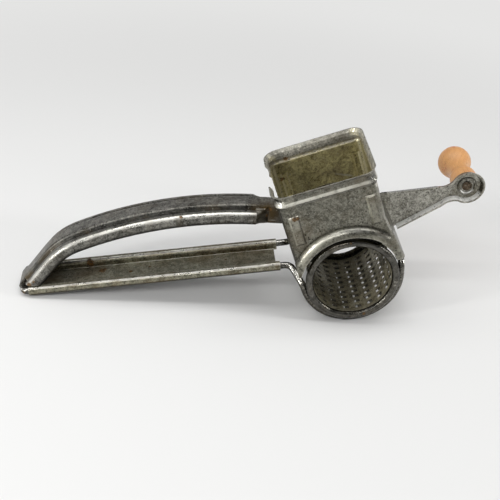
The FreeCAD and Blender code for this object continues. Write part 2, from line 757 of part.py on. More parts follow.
def collar_bore():
    """The opening inside the collar, over the collar's own sweep."""
    bore = doc.addObject("Part::Cylinder", "collar_opening")
    bind(bore, Radius="collar_bore", Height="4 * collar_section", Angle="collar_sweep")
    turn = ALONG_Y.multiply(FreeCAD.Rotation(FreeCAD.Vector(0, 0, 1), -value("collar_start + collar_sweep")))
    return place(bore, 0, "-hopper_half_depth - 3 * collar_section", 0, turn)


def hopper_shells():
    front = hopper_front()
    back = mirrored_y("hopper_back_shell", front)
    front_shell = doc.addObject("Part::Compound", "hopper_front_shell")
    front_shell.Links = [front]
    return in_head(front_shell), in_head(back)


# ---------------------------------------------------------------- fixed handle
def lower_handle():
    """Trough under the hand, its edges rolled over the two rails."""
    inner = "(wire_radius + rail_roll_gap)"
    outer = "(wire_radius + rail_roll_gap + handle_sheet)"
    wall = "(rail_half_gap - %s)" % outer
    bend = "trough_bend"
    half = [
        ("%s - %s" % (wall, bend), "-" + outer, "%s + handle_sheet" % bend, 1),
        ("%s + handle_sheet" % wall, "-%s + %s + handle_sheet" % (outer, bend)),
        ("%s + handle_sheet" % wall, "0", inner, -1, True),
        ("rail_half_gap + %s * cos(rail_roll_end)" % inner, "%s * sin(rail_roll_end)" % inner),
        ("rail_half_gap + %s * cos(rail_roll_end)" % outer, "%s * sin(rail_roll_end)" % outer,
         outer, 1, True),
        (wall, "0"),
        (wall, "-%s + %s + handle_sheet" % (outer, bend), bend, -1),
        ("%s - %s" % (wall, bend), "-%s + handle_sheet" % outer),
    ]
    length = "(hinge_reach - trough_stop) / cos(rail_slope)"
    trough = prism("trough", "YZ_Plane", both_sides(half), "trough_setback", length)
    short = box("floor_end", (length + " - floor_setback", length + " + overcut"),
                ("-" + wall, wall), ("-2 * " + outer, "0"))
    handle = cut("lower_handle", trough, short)
    return place(handle, "-hinge_reach", 0, EYE_RADIUS, turn_y("rail_slope"))


# ---------------------------------------------------------------- presser
def on_roll(height, radius, angle):
    """A point on the channel's rolled edge, whose centre hangs below the web."""
    return ("(channel_half_width - channel_roll + %s * cos(%s))" % (radius, angle),
            "(%s - channel_depth + channel_roll + %s * sin(%s))" % (height, radius, angle))


def channel_section(height):
    """The presser handle's section, y across and z down from the top of its web at the given height."""
    inner = "(channel_roll - handle_sheet)"
    return [
        ("channel_flat - crest_bend", height, "crest_bend / tan(22.5)", -1),
        ("channel_flat + crest_bend * cos(45)", "%s - crest_bend * sin(45)" % height),
        on_roll(height, "channel_roll", "roll_top") + ("channel_roll", -1, True),
        on_roll(height, "channel_roll", "roll_end"),
        on_roll(height, inner, "roll_end") + (inner, 1, True),
        on_roll(height, inner, "roll_top + roll_inner_lead"),
        ("channel_flat - handle_sheet * tan(22.5)", "%s - handle_sheet" % height),
    ]


def arch_run():
    """The straight run above the hinge, drawn along x."""
    return prism("arch_run_body", "YZ_Plane", both_sides(channel_section("0")), "run_start", "arch_run")


def arch_bow(name, radius, sweep):
    """A bowed stretch of the channel that rises to the top of a circle round the body's own Y axis."""
    body = body_named(name)
    section = chain(sketch_on(body, "YZ_Plane", name + "_section"), both_sides(channel_section(radius)))
    bow = body.newObject("PartDesign::Revolution", name + "_bow")
    bow.Profile = section
    bow.ReferenceAxis = (section, ["H_Axis"])
    bow.Reversed = True
    bind(bow, Angle=sweep)
    return body


def roll_taper(side):
    """One wall of the channel where its roll runs out into the tail's flat wall."""
    body = body_named("roll_taper_%s" % ("near" if side < 0 else "far"))
    steps = 6
    wide_outer, wide_inner, slim_outer, slim_inner = [], [], [], []
    for i in range(steps + 1):
        angle = "(roll_top - %d * (roll_top + 90) / %d)" % (i, steps)
        drop = "(-%d * tail_depth / %d)" % (i, steps)
        wide_outer.append(on_roll("0", "channel_roll", angle))
        wide_inner.append(on_roll("0", "(channel_roll - handle_sheet)", angle))
        slim_outer.append(("tail_half_width", drop))
        slim_inner.append(("(tail_half_width - handle_sheet)", drop))
    crest = ("channel_flat", "0")
    under = ("(channel_flat - handle_sheet)", "-handle_sheet")
    wide = [crest] + wide_outer + wide_inner[::-1] + [under]
    slim = [crest] + slim_outer + slim_inner[::-1] + [under]
    slim[1] = ("tail_half_width", "-handle_sheet")
    slim[-2] = ("(tail_half_width - handle_sheet)", "(-2 * handle_sheet)")
    sections = []
    for name, lift, corners in (("wide", "0", wide), ("slim", "taper_length", slim)):
        turned_over = [("%d * %s" % (side, y), z) for y, z in corners]
        sections.append(chain(sketch_on(body, "YZ_Plane", name + "_wall", lift), turned_over))
    loft = body.newObject("PartDesign::AdditiveLoft", "wall_loft")
    loft.Profile = sections[0]
    loft.Sections = sections[1:]
    loft.Ruled = True
    return place(body, WIDE_X, 0, WIDE_Z + " + arch_wide_radius")


def tilted_box(name, x, y, z, angle, foot_x, foot_z):
    """A box drawn from a foot point along a line that rises at the given angle."""
    block = box(name, x, y, z)
    return place(block, "%s + (%s) * cos(%s) - (%s) * sin(%s)" % (foot_x, x[0], angle, z[0], angle), y[0],
                 "%s + (%s) * sin(%s) + (%s) * cos(%s)" % (foot_z, x[0], angle, z[0], angle), turn_y(angle))


def drum_sector(name, radius, low, high, start, sweep):
    """A sector of a cylinder on the drum axis, its angles counted in the head's frame."""
    sector = bind(doc.addObject("Part::Cylinder", name), Radius=radius,
                  Height="(%s) - (%s)" % (high, low), Angle=sweep)
    spin = FreeCAD.Rotation(FreeCAD.Vector(0, 0, 1), -value("%s + %s + head_lean" % (start, sweep)))
    return place(sector, 0, low, AXIS_HEIGHT, ALONG_Y.multiply(spin))


def upper_handle():
    """Eye, tongue, arched channel and the straight tail that reaches into the hopper."""
    whole = "arch_start_angle"
    web_x = "(-hinge_reach - %s * sin(%s))" % (EYE_RADIUS, whole)
    web_z = "(%s + %s * cos(%s))" % (EYE_RADIUS, EYE_RADIUS, whole)
    straight = place(arch_run(), web_x, 0, web_z, turn_y(whole))
    handle_room = tilted_box(
        "handle_room", ("-arch_run", "2 * arch_run"), ("-2 * channel_half_width", "2 * channel_half_width"),
        ("-arch_run", "wire_radius + rail_roll_gap + handle_sheet + handle_gap"), "rail_slope",
        "-hinge_reach", EYE_RADIUS)
    tight = place(arch_bow("tight_bow", "arch_tight_radius", "arch_tight_angle"), TIGHT_X, 0, TIGHT_Z,
                  turn_y("arch_start_angle - arch_tight_angle"))
    wide = place(arch_bow("wide_bow", "arch_wide_radius", "arch_start_angle - arch_tight_angle"),
                 WIDE_X, 0, WIDE_Z)
    tongue = tilted_box("tongue", ("0", "2 * run_start"), ("-eye_half_width", "eye_half_width"),
                        ("-handle_sheet", "0"), whole, web_x, web_z)
    eye = cylinder_y("eye", EYE_RADIUS, "-eye_half_width", "eye_half_width", "-hinge_reach", EYE_RADIUS)
    bore = cylinder_y("eye_bore", "wire_radius + hinge_gap", "-eye_half_width - overcut",
                      "eye_half_width + overcut", "-hinge_reach", EYE_RADIUS)
    wall = "(tail_half_width - handle_sheet)"
    tail = prism("tail", "YZ_Plane", [
        ("-tail_half_width", "-tail_depth"),
        ("-" + wall, "-tail_depth"),
        ("-" + wall, "-handle_sheet"),
        (wall, "-handle_sheet"),
        (wall, "-tail_depth"),
        ("tail_half_width", "-tail_depth"),
        ("tail_half_width", "-handle_sheet"),
        ("channel_flat", "0"),
        ("-channel_flat", "0"),
        ("-tail_half_width", "-handle_sheet"),
    ], "taper_length", "-tail_front - " + WIDE_X)
    place(tail, WIDE_X, 0, WIDE_Z + " + arch_wide_radius")
    web = box("taper_web", ("0", "taper_length"), ("-channel_flat", "channel_flat"), ("-handle_sheet", "0"))
    place(web, WIDE_X, "-channel_flat", WIDE_Z + " + arch_wide_radius - handle_sheet")
    drum_side = cylinder_y("foot_room", FOOT_TOP, "-tail_half_width - overcut", "tail_half_width + overcut",
                           0, AXIS_HEIGHT)
    tabs = []
    for i, (low, high) in enumerate((("-tab_half_width", "-" + wall), (wall, "tab_half_width"))):
        ring = drum_sector("tab_%d" % i, FOOT_TOP + " + handle_sheet", low, high, "tab_start", "tab_sweep")
        tab_bore = cylinder_y("tab_bore_%d" % i, FOOT_TOP, "%s - overcut" % low, "%s + overcut" % high,
                              0, AXIS_HEIGHT)
        tabs.append(cut("tab_ring_%d" % i, ring, tab_bore))
    body = fuse("presser_bar", cut("arch_foot", straight, handle_room), tight, wide, tongue, eye, web,
                roll_taper(-1), roll_taper(1), cut("tail_fit", tail, drum_side), *tabs)
    holes = presser_rivet_holes("tab_hole", FOOT_TOP + " - overcut", FOOT_TOP + " + 3 * handle_sheet")
    return cut("upper_handle", body, bore, *holes)


def rivet_set(name, profile):
    """The same turned shape at the foot's four rivets, standing out from the drum axis."""
    shapes = []
    across = "(tail_half_width + tab_half_width) / 2"
    for i, (side, swing) in enumerate(CORNERS):
        shape = turned("%s_%d" % (name, i), profile)
        lean = FreeCAD.Rotation(FreeCAD.Vector(0, 1, 0),
                                swing * value("presser_rivet_spread") - value("head_lean"))
        up = FreeCAD.Rotation(FreeCAD.Vector(1, 0, 0), 90)
        shapes.append(place(shape, 0, "%d * %s" % (side, across), AXIS_HEIGHT, lean.multiply(up)))
    return shapes


def presser_rivet_holes(name, start, end):
    return rivet_set(name, [(0, start), ("presser_rivet_radius", start),
                            ("presser_rivet_radius", end), (0, end)])


def presser_foot():
    """Curved plate with upturned ends that pushes the food on to the drum."""
    plate = drum_sector("foot_arc", FOOT_TOP, "-foot_half_width", "foot_half_width",
                        "foot_start", "foot_sweep")
    bore = cylinder_y("foot_bore", FOOT_RADIUS, "-foot_half_width - overcut",
                      "foot_half_width + overcut", 0, AXIS_HEIGHT)
    lips = []
    for i, (low, high) in enumerate((("-foot_half_width", "-foot_half_width + foot_sheet"),
                                     ("foot_half_width - foot_sheet", "foot_half_width"))):
        lips.append(drum_sector("lip_%d" % i, FOOT_TOP + " + foot_lip", low, high,
                                "foot_start", "foot_sweep"))
    holes = presser_rivet_holes("foot_hole", FOOT_RADIUS + " - overcut", FOOT_TOP + " + overcut")
    return cut("presser_foot", fuse("foot_solid", plate, *lips), bore, *holes)


def presser_rivets():
    top = FOOT_TOP + " + handle_sheet"
    rivets = rivet_set("presser_rivet", [
        (0, FOOT_RADIUS + " + foot_sheet / 4"),
        ("presser_rivet_radius", FOOT_RADIUS + " + foot_sheet / 4"),
        ("presser_rivet_radius", top),
        ("presser_rivet_head", top),
        ("presser_rivet_crown", top + " + rivet_head"),
        (0, top + " + rivet_head"),
    ])
    group = doc.addObject("Part::Compound", "presser_rivets")
    group.Links = rivets
    return group


# ---------------------------------------------------------------- build
parts = [
    wire_frame(), drum_cylinder(), drum_front_rim(), drum_back_ring(), crank_arm(), crank_rivets(),
    knob_pin(), crank_knob(), *hopper_shells(), lower_handle(), upper_handle(),
    presser_foot(), presser_rivets(),
]
doc.recompute()
for thing in doc.Objects:
    if any(word in thing.State for word in ("Invalid", "Error")):
        raise RuntimeError("%s: %s" % (thing.Label, thing.State))
os.makedirs("parts", exist_ok=True)
for part in parts:
    if part.Shape.isNull() or not part.Shape.isValid():
        raise RuntimeError("%s has no sound shape" % part.Label)
    part.Shape.exportStep("parts/%s.step" % part.Label)
    size = part.Shape.BoundBox
    print("%-20s solids %d  volume %8.1f  x %.1f..%.1f  y %.1f..%.1f  z %.1f..%.1f" % (
        part.Label, len(part.Shape.Solids), part.Shape.Volume,
        size.XMin, size.XMax, size.YMin, size.YMax, size.ZMin, size.ZMax))
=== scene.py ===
import bpy
from mathutils import Matrix, Vector


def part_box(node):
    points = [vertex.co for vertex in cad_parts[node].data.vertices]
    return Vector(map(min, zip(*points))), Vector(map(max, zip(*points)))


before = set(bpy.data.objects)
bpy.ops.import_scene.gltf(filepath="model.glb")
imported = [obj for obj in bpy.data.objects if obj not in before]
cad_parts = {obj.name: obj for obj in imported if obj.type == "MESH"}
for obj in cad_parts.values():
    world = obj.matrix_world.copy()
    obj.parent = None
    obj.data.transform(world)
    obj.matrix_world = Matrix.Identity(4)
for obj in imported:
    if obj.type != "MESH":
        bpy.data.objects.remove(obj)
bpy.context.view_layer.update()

# The looks of a rotary drum shredder: camera, stage, light and a procedural finish for each
# piece.  Metres, unless a comment says mm.

scene = bpy.context.scene
scene.view_settings.view_transform = "Standard"

MM = 0.001

# the photograph's camera, as fitted to it
SENSOR_WIDTH = 36.0
FOCAL_LENGTH = 67.822
CAMERA_PLACE = (-0.123554, -0.477180, 0.340576)
CAMERA_FORWARD = (0.112743, 0.833457, -0.540961)
CAMERA_RIGHT = (0.992761, -0.071794, 0.096292)
NEAREST, FARTHEST = 0.02, 30.0

OBJECT_MIDDLE = (-0.05, 0.0, 0.04)

# name, place, aim, size and power of each lamp
LAMPS = (
    ("overhead", (-0.25, 0.02, 0.95), (-0.25, 0.02, 0.04), (1.60, 0.34), 6.0),
    ("front", (-0.36, -0.70, 0.72), OBJECT_MIDDLE, (0.60, 0.08), 2.0),
    ("left", (-1.00, -0.50, 0.30), OBJECT_MIDDLE, (0.10, 0.30), 5.0),
    ("right", (0.95, -0.20, 0.42), OBJECT_MIDDLE, (0.10, 0.30), 3.0),
)

# the floor: its half width, and how far from its middle it runs out into the backdrop
FLOOR_REACH = 6.0
FLOOR_MIDDLE = (-0.05, 0.0, 0.0)
SHADOW_REACH = (0.20, 0.60)

# the world: where the backdrop passes into the ceiling, by the rise of the heading, the
# ceiling's tone, and the light that falls on everything from all round
CEILING_FROM, CEILING_FULL = 0.04, 0.42
CEILING = (0.16, 0.16, 0.16, 1.0)
SKY_LIGHT = (0.32, 0.32, 0.32, 1.0)

# the head (hopper, foot, crank root) leans back: its own axes, and the lines its hollows surround
HEAD_ACROSS = (0.92718, 0.0, 0.37461)
HEAD_UP = (-0.37461, 0.0, 0.92718)
HOPPER_MIDDLE = (-0.0007, 0.0, 0.0312)
HOPPER_LINE = (HOPPER_MIDDLE, HEAD_UP)
DRUM_LINE = ((0.0, 0.0, 0.0312), (0.0, 1.0, 0.0))

# the collar's middle, in mm
COLLAR_MIDDLE = (0.0, -28.0, 31.2)

# bands across the hopper's wall, in mm above the drum's axis: fade in from, to, fade out from, to
UNDER_RIDGE = (57.4, 58.6, 59.3, 59.9)
RIDGE_CREST = (59.8, 60.6, 61.6, 62.4)
RIDGE_HOLLOW = (58.0, 59.4, 60.6, 62.0)
# where the painted highlight on the flared band inside the hopper's top fades in
RIM_FROM, RIM_FULL = 59.0, 61.5

# square to the crank arm, and how far the arm's middle line stands out along it
CRANK_SQUARE = (-0.40354, 0.0, 0.91496)
CRANK_MIDDLE = 0.02855

# ribs on the hopper's panel, in mm from the panel's middle line and from the seam
RIB_FROM, RIB_FULL = 16.6, 17.6
RIB_CREST_FROM, RIB_CREST_FULL = 17.6, 19.0
RIB_LOW, RIB_HIGH = 27.35, 27.75
RIB_TOP, RIB_TOP_END = 55.0, 56.0
PANEL_FULL, PANEL_END = 24.5, 25.5

# a painted highlight lies on the slopes that look up and to the front: the Y part of their normal
HIGHLIGHT_SLOPE = -0.52

# how far a surface looks for a neighbour (mm): corners hold soiling and painted shade, edges wear
CORNER_REACH = 1.8
EDGE_REACH = 0.8
LOOKS = 6


def rgb(red, green, blue):
    """A colour written as the eye reads it, 0 to 255, in linear light."""
    def linear(c):
        c /= 255.0
        return c / 12.92 if c <= 0.04045 else ((c + 0.055) / 1.055) ** 2.4
    return (linear(red), linear(green), linear(blue), 1.0)


def toned(colour, share):
    """The same colour, lighter or darker by the share."""
    return rgb(*(min(255, round(c * share)) for c in colour))


BACKDROP = rgb(229, 229, 228)
FLOOR = rgb(232, 232, 231)

# colours: a painted highlight, worn edges, soiling and painted shade in corners, pits, scratches,
# rust
HIGHLIGHT = rgb(228, 226, 218)
WORN_EDGE = rgb(200, 197, 186)
SOIL_AND_SHADE = rgb(30, 25, 18)
PIT = rgb(24, 20, 15)
SCRATCH = rgb(190, 187, 176)
RUST_DARK, RUST_LIGHT = rgb(44, 30, 16), rgb(122, 88, 36)


class Nodes:
    """Short calls for building a node tree."""

    def __init__(self, tree):
        self.tree = tree
        tree.nodes.clear()

    def feed(self, socket, source):
        if isinstance(source, bpy.types.NodeSocket):
            self.tree.links.new(source, socket)
        else:
            socket.default_value = source

    def add(self, kind, inputs=None, **settings):
        node = self.tree.nodes.new(kind)
        for name, setting in settings.items():
            setattr(node, name, setting)
        for name, source in (inputs or {}).items():
            self.feed(node.inputs[name], source)
        return node

    def math(self, operation, a, b=0.0, clamp=False):
        node = self.add("ShaderNodeMath", {0: a, 1: b}, operation=operation)
        node.use_clamp = clamp
        return node.outputs[0]

    def product(self, *factors):
        result = factors[0]
        for factor in factors[1:]:
            result = self.math("MULTIPLY", result, factor)
        return result

    def weighted(self, *terms):
        """The sum of the sources, each times its weight."""
        result = None
        for source, weight in terms:
            part = self.math("MULTIPLY", source, weight)
            result = part if result is None else self.math("ADD", result, part)
        return result

    def without(self, mask):
        return self.math("SUBTRACT", 1.0, mask)

    def vector(self, operation, a, b):
        node = self.add("ShaderNodeVectorMath", {0: a, 1: b}, operation=operation)
        return node.outputs["Vector"]

    def dot(self, a, b):
        node = self.add("ShaderNodeVectorMath", {0: a, 1: b}, operation="DOT_PRODUCT")
        return node.outputs["Value"]

    def length(self, a):
        return self.add("ShaderNodeVectorMath", {0: a}, operation="LENGTH").outputs["Value"]

    def distance(self, a, place):
        node = self.add("ShaderNodeVectorMath", {0: a, 1: place}, operation="DISTANCE")
        return node.outputs["Value"]

    def axes(self, where):
        return self.add("ShaderNodeSeparateXYZ", {0: where}).outputs

    def channel(self, colour, index):
        return self.add("ShaderNodeSeparateColor", {"Color": colour}).outputs[index]

    def noise(self, where, scale, detail, rough=0.55, distort=0.0):
        node = self.add("ShaderNodeTexNoise", {
            "Vector": where, "Scale": scale, "Detail": detail,
            "Roughness": rough, "Distortion": distort})
        return node.outputs["Fac"]

    def span(self, source, low, high, start=0.0, end=1.0):
        """Maps low..high of the source on to start..end, eased, and held at both ends."""
        node = self.add("ShaderNodeMapRange", {
            "Value": source, "From Min": low, "From Max": high,
            "To Min": start, "To Max": end}, interpolation_type="SMOOTHSTEP")
        return node.outputs["Result"]

    def span_mm(self, source, low, high, start=0.0, end=1.0):
        return self.span(source, low * MM, high * MM, start, end)

    def between(self, source, band):
        """1 inside the band, in mm: it fades in over the first two, out over the last two."""
        low, full, still, high = band
        return self.product(self.span_mm(source, low, full), self.span_mm(source, high, still))

    def mix(self, factor, a, b):
        node = self.add("ShaderNodeMix", data_type="RGBA")
        for index, source in ((0, factor), (6, a), (7, b)):
            self.feed(node.inputs[index], source)
        return node.outputs[2]

    def stretched(self, where, scale, turn=(0.0, 0.0, 0.0)):
        node = self.add("ShaderNodeMapping", {"Vector": where, "Scale": scale, "Rotation": turn})
        return node.outputs["Vector"]

    def open_sky(self, reach, samples, inside=False):
        """1 in the open, falling to 0 in a corner; with inside set, 0 at a sharp edge."""
        node = self.add("ShaderNodeAmbientOcclusion", {"Distance": reach * MM},
                        samples=samples, inside=inside)
        return node.outputs["AO"]

    def bump(self, height, distance, strength, below=None):
        inputs = {"Height": height, "Distance": distance * MM, "Strength": strength}
        if below is not None:
            inputs["Normal"] = below
        return self.add("ShaderNodeBump", inputs).outputs["Normal"]


# ---------------------------------------------------------------- camera, stage and light
def make_camera():
    data = bpy.data.cameras.new("view_camera")
    data.sensor_width = SENSOR_WIDTH
    data.lens = FOCAL_LENGTH
    data.clip_start = NEAREST
    data.clip_end = FARTHEST
    camera = bpy.data.objects.new("view_camera", data)
    scene.collection.objects.link(camera)
    forward = Vector(CAMERA_FORWARD).normalized()
    right = Vector(CAMERA_RIGHT)
    right = (right - forward * right.dot(forward)).normalized()
    up = right.cross(forward)
    turn = Matrix((right, up, -forward)).transposed()
    camera.matrix_world = Matrix.Translation(CAMERA_PLACE) @ turn.to_4x4()
    scene.camera = camera


def area_lamp(name, place, aim, size, power):
    data = bpy.data.lights.new(name, "AREA")
    data.shape = "RECTANGLE"
    data.size, data.size_y = size
    data.energy = power
    lamp = bpy.data.objects.new(name, data)
    scene.collection.objects.link(lamp)
    lamp.location = place
    lamp.rotation_mode = "QUATERNION"
    lamp.rotation_quaternion = (Vector(aim) - Vector(place)).to_track_quat("-Z", "Y")


def seen_directly(n):
    """1 for rays that show a surface to the camera, straight or in the metal."""
    path = n.add("ShaderNodeLightPath").outputs
    seen = n.math("ADD", path["Is Camera Ray"], path["Is Glossy Ray"])
    return n.math("ADD", seen, path["Is Transmission Ray"], clamp=True)


def make_floor():
    """A plain pale floor that keeps the shadow and runs out into the backdrop's tone."""
    data = bpy.data.meshes.new("floor")
    r = FLOOR_REACH
    corners = [(-r, -r, 0), (r, -r, 0), (r, r, 0), (-r, r, 0)]
    data.from_pydata(corners, [], [(0, 1, 2, 3)])
    floor = bpy.data.objects.new("floor", data)
    scene.collection.objects.link(floor)
    material = bpy.data.materials.new("floor")
    material.use_nodes = True
    n = Nodes(material.node_tree)
    shader = n.add("ShaderNodeBsdfPrincipled", {
        "Base Color": FLOOR, "Roughness": 0.9, "Specular IOR Level": 0.1})
    where = n.add("ShaderNodeTexCoord").outputs["Object"]
    away = n.length(n.vector("SUBTRACT", where, FLOOR_MIDDLE))
    even = n.product(n.span(away, *SHADOW_REACH), seen_directly(n))
    pale = n.add("ShaderNodeEmission", {"Color": BACKDROP, "Strength": 1.0})
    surface = n.add("ShaderNodeMixShader", {0: even, 1: shader.outputs[0], 2: pale.outputs[0]})
    n.add("ShaderNodeOutputMaterial", {"Surface": surface.outputs[0]})
    data.materials.append(material)


def make_world():
    """A white backdrop all round under a darker ceiling, which only shows in the metal."""
    world = bpy.data.worlds.new("studio")
    scene.world = world
    world.use_nodes = True
    n = Nodes(world.node_tree)
    height = n.axes(n.add("ShaderNodeTexCoord").outputs["Generated"])["Z"]
    shown = n.mix(n.span(height, CEILING_FROM, CEILING_FULL), BACKDROP, CEILING)
    colour = n.mix(seen_directly(n), SKY_LIGHT, shown)
    back = n.add("ShaderNodeBackground", {"Color": colour, "Strength": 1.0})
    n.add("ShaderNodeOutputWorld", {"Surface": back.outputs[0]})


# ---------------------------------------------------------------- tinplate
class Tin:
    """Aged tinplate, laid on in layers: each method paints over those before it.

    Colours are 0 to 255, places and widths are in mm. Every mask is fixed to the piece, so the
    finish moves with it. A film is a dull skin, where the metal shines less.
    """

    def __init__(self, name, dark, light):
        self.material = bpy.data.materials.new(name)
        self.material.use_nodes = True
        self.n = n = Nodes(self.material.node_tree)
        self.dark, self.light = dark, light
        seat = n.add("ShaderNodeTexCoord").outputs
        self.where = seat["Object"]
        self.normal = seat["Normal"]
        self.facing = n.axes(self.normal)
        self.aside = n.math("ABSOLUTE", n.axes(self.where)["Y"])

        self.broad = n.noise(self.where, 60.0, 5.0, 0.62, 0.4)
        self.medium = n.noise(self.where, 260.0, 4.0, 0.6)
        self.fine = n.noise(self.where, 900.0, 4.0, 0.65)
        self.drift = n.noise(self.where, 42.0, 6.0, 0.66, 0.8)
        wobble = n.add("ShaderNodeTexNoise", {
            "Vector": self.where, "Scale": 420.0, "Detail": 3.0}).outputs["Color"]
        wobble = n.vector("MULTIPLY", wobble, (1.1 * MM, 1.1 * MM, 1.1 * MM))
        self.bent = n.vector("ADD", self.where, wobble)

        self.tone = self.mottling()
        self.colour = n.mix(self.tone, rgb(*dark), rgb(*light))
        self.films = []
        self.highlight_mask = None
        self.zone = None

    def mottling(self):
        """The grain of old tin: clouds, speckle and the edges of its crystals."""
        n = self.n
        crystals = n.add("ShaderNodeTexVoronoi", {"Vector": self.bent, "Scale": 480.0})
        crystal = n.channel(crystals.outputs["Color"], 0)
        grit = n.noise(self.where, 2200.0, 2.0, 0.6)
        tone = n.weighted((self.broad, 0.42), (self.medium, 0.26), (self.fine, 0.80),
                          (grit, 0.45), (crystal, 0.16))
        return n.span(tone, 0.80, 1.36)

    def paint(self, mask, colour):
        self.colour = self.n.mix(mask, self.colour, colour)

    def patchy(self, low, high, start, end=1.0):
        """A share that wanders over the surface, so that a mask isn't even."""
        return self.n.span(self.medium, low, high, start, end)

    def surround(self, line):
        """Of a hollow round a line: where the wall looks at it, the rise along it, the reach."""
        n = self.n
        middle, up = line
        offset = n.vector("SUBTRACT", self.where, middle)
        rise = n.dot(offset, up)
        along = n.add("ShaderNodeVectorMath", {0: up, "Scale": rise}, operation="SCALE")
        out = n.vector("SUBTRACT", offset, along.outputs["Vector"])
        inside = n.span(n.dot(out, self.normal), 0.002, -0.002)
        return inside, rise, n.length(out)

    def shade(self, strength):
        """Painted shade: darker where it looks down."""
        self.paint(self.n.span(self.facing["Z"], 0.10, -0.50, 0.0, strength),
                   toned(self.dark, 0.4))

    def painted_flank_shade(self, strength):
        """Painted shade: darker where a bead turns away from its face."""
        away = self.n.math("ABSOLUTE", self.facing["Y"])
        self.paint(self.n.span(away, 0.90, 0.45, 0.0, strength), toned(self.dark, 0.5))

    def painted_groove_shade(self, band):
        """Painted shade in the groove along the handle, a band either side of its middle."""
        groove = self.n.between(self.aside, band)
        self.paint(self.n.product(groove, 0.8), toned(self.dark, 0.5))

    def film(self, strength):
        """A dull skin on what looks up and not to the front."""
        n = self.n
        self.films.append(n.product(n.span(self.facing["Z"], 0.45, 0.85, 0.0, strength),
                                    n.span(self.facing["Y"], -0.34, -0.12)))

    def paint_highlight(self, strength, width=0.30, start=None, spared=()):
        """A painted highlight on the slopes that look up and to the front, but not under the spared
        masks.
        """
        n = self.n
        off = n.math("ABSOLUTE", n.math("SUBTRACT", self.facing["Y"], HIGHLIGHT_SLOPE))
        self.highlight_mask = n.product(n.span(off, width, width / 3, 0.0, strength),
                                n.span(self.facing["Z"], 0.05, 0.35),
                                self.patchy(0.30, 0.55, 0.65))
        if start is not None:
            outer = n.span_mm(self.aside, start - 0.8, start)
            self.highlight_mask = n.product(self.highlight_mask, outer)
        for mask in spared:
            self.highlight_mask = n.product(self.highlight_mask, n.without(mask))
        self.paint(self.highlight_mask, HIGHLIGHT)

    def cloud(self, amount, zones=()):
        """Where the tarnish lies: drifting patches, and zones (place, reach, strength)."""
        n = self.n
        self.zone = n.span(self.drift, 0.46, 0.68, 0.0, amount)
        for place, reach, strength in zones:
            near = n.span_mm(self.distance_to(place), reach, reach * 0.2, 0.0, strength)
            near = n.product(near, n.span(self.drift, 0.30, 0.62, 0.15, 1.0))
            self.zone = n.math("MAXIMUM", self.zone, near)

    def distance_to(self, place):
        return self.n.distance(self.where, tuple(c * MM for c in place))

    def line(self, inside, lining):
        """The duller, warmer skin inside a hollow."""
        n = self.n
        self.paint(n.product(inside, n.span(self.drift, 0.15, 0.55, 0.75, 1.0)), lining)
        self.films.append(n.product(inside, 0.55))

    def finish(self, tarnish=(74, 60, 36), rough=(0.22, 0.44), soil_and_shade=0.6, wear=0.5, spots=(),
               over_tarnish=None):
        """Tarnish, soiling and painted shade in corners, worn edges, pits, scratches and rust, then
        the shader.
        """
        n = self.n
        self.paint(self.zone, rgb(*tarnish))
        if over_tarnish is not None:
            over_tarnish(self)

        # soiling and painted shade: darker in corners, where little open sky is seen
        corner = n.open_sky(CORNER_REACH, LOOKS)
        corner_soil_and_shade = n.product(n.span(corner, 0.80, 0.25, 0.0, soil_and_shade), self.patchy(0.25, 0.6, 0.6))
        self.paint(corner_soil_and_shade, SOIL_AND_SHADE)
        edge = n.open_sky(EDGE_REACH, LOOKS, inside=True)
        bright = n.product(n.span(edge, 0.85, 0.35, 0.0, wear), self.patchy(0.3, 0.6, 0.4))
        self.paint(bright, WORN_EDGE)
        pit = self.pits()
        self.paint(n.product(pit, 0.8), PIT)
        scratch = self.scratches()
        self.paint(n.product(scratch, 0.35), SCRATCH)

        roughness = n.weighted((self.broad, 0.4), (self.medium, 0.6))
        roughness = n.span(roughness, 0.32, 0.66, *rough)
        roughness = n.math("ADD", roughness, n.weighted((corner_soil_and_shade, 0.25), (self.zone, 0.12),
                                                        (bright, -0.08)))
        if self.highlight_mask is not None:
            roughness = n.math("SUBTRACT", roughness, n.product(self.highlight_mask, 0.06))
        if spots:
            rust = self.rust(spots)
            speckle = n.span(self.fine, 0.35, 0.65)
            self.paint(n.product(rust, 0.95), n.mix(speckle, RUST_DARK, RUST_LIGHT))
            roughness = n.math("ADD", roughness, n.product(rust, 0.40))
            self.films.append(n.product(rust, 0.75))
        roughness = n.math("MINIMUM", roughness, 0.95)

        metallic = 1.0
        for covered in self.films:
            metallic = n.product(n.without(covered), metallic)
        shader = n.add("ShaderNodeBsdfPrincipled", {
            "Base Color": self.colour, "Roughness": roughness,
            "Normal": self.relief(pit, scratch), "Metallic": metallic})
        n.add("ShaderNodeOutputMaterial", {"Surface": shader.outputs[0]})
        return self.material

    def pits(self):
        """A few cells of a fine pattern, which are dark and sunk."""
        n = self.n
        cells = n.add("ShaderNodeTexVoronoi", {"Vector": self.bent, "Scale": 760.0}).outputs
        return n.product(n.span(n.channel(cells["Color"], 1), 0.78, 0.84),
                         n.span(cells["Distance"], 0.50, 0.15),
                         n.span(self.broad, 0.36, 0.60, 0.1, 1.0))

    def scratches(self):
        """Fine scratches across the pieces, in two directions."""
        n = self.n
        first = n.stretched(self.where, (900.0, 60.0, 900.0))
        second = n.stretched(self.where, (60.0, 900.0, 300.0), (0.3, 0.5, 0.9))
        return n.math("MAXIMUM", n.span(n.noise(first, 1.0, 2.0, 0.5), 0.66, 0.74),
                      n.span(n.noise(second, 1.0, 2.0, 0.5), 0.67, 0.74))

